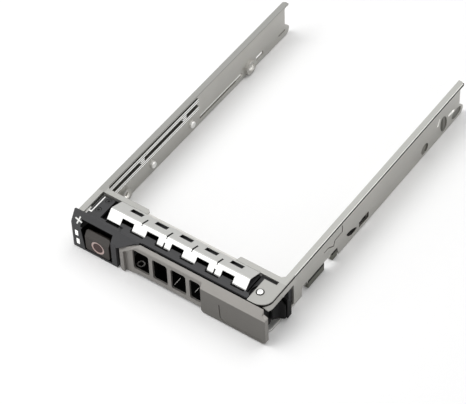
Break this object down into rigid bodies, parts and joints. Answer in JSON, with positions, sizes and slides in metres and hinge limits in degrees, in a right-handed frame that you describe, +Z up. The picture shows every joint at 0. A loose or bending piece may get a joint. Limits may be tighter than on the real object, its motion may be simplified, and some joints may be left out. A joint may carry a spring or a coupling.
{
  "type": "hot swap drive caddy",
  "caption": "Open steel carrier for a 2.5 inch server drive with a vented swing handle, a release button and a row of spring fingers.",
  "frame": {"origin": "middle of the carrier's outline, on the surface that it lies on", "axes": "+Y from the front handle to the rear ends of the rails, +Z up through the drive bay, +X to the hinge side"},
  "size_m": [0.0806, 0.129, 0.0178],
  "materials": {
    "plated_steel": "satin",
    "dark_plastic": "matt",
    "spring_steel": "satin",
    "clear_plastic": "clear",
    "button_red": "satin",
    "grey_plastic": "satin",
    "black_metal": "matt",
    "screw_steel": "satin"
  },
  "bodies": {
    "carrier": {"frame": "plated_steel", "bezel": "dark_plastic", "emi_shield": "spring_steel", "light_pipe": "clear_plastic", "button_spring": "spring_steel", "latch_spring": "spring_steel", "latch_retainer": "dark_plastic", "bezel_screws": "screw_steel", "hinge_pin": "screw_steel", "hinge_washer": "screw_steel", "hinge_clip": "spring_steel", "handle_spring": "spring_steel"},
    "handle": {"handle_cover": "grey_plastic", "handle_lever": "black_metal", "handle_screws": "screw_steel"},
    "button": {"release_button": "button_red"},
    "latch": {"latch_slider": "dark_plastic"}
  },
  "joints": [
    {"name": "handle_hinge", "type": "hinge", "parent": "carrier", "child": "handle", "pos_m": [0.03346, -0.05708, 0], "axis": [0, 0, 1], "range_deg": [0, 30]},
    {"name": "button_slide", "type": "slide", "parent": "carrier", "child": "button", "axis": [0, 1, 0], "range_m": [0, 0.0018], "stiffness_N_per_m": 300, "springref_m": -0.0005},
    {"name": "latch_slide", "type": "slide", "parent": "carrier", "child": "latch", "axis": [-1, 0, 0], "range_m": [0, 0.00162]}
  ],
  "couplings": [
    {"joint": "latch_slide", "follows": "button_slide", "ratio": 0.9}
  ]
}
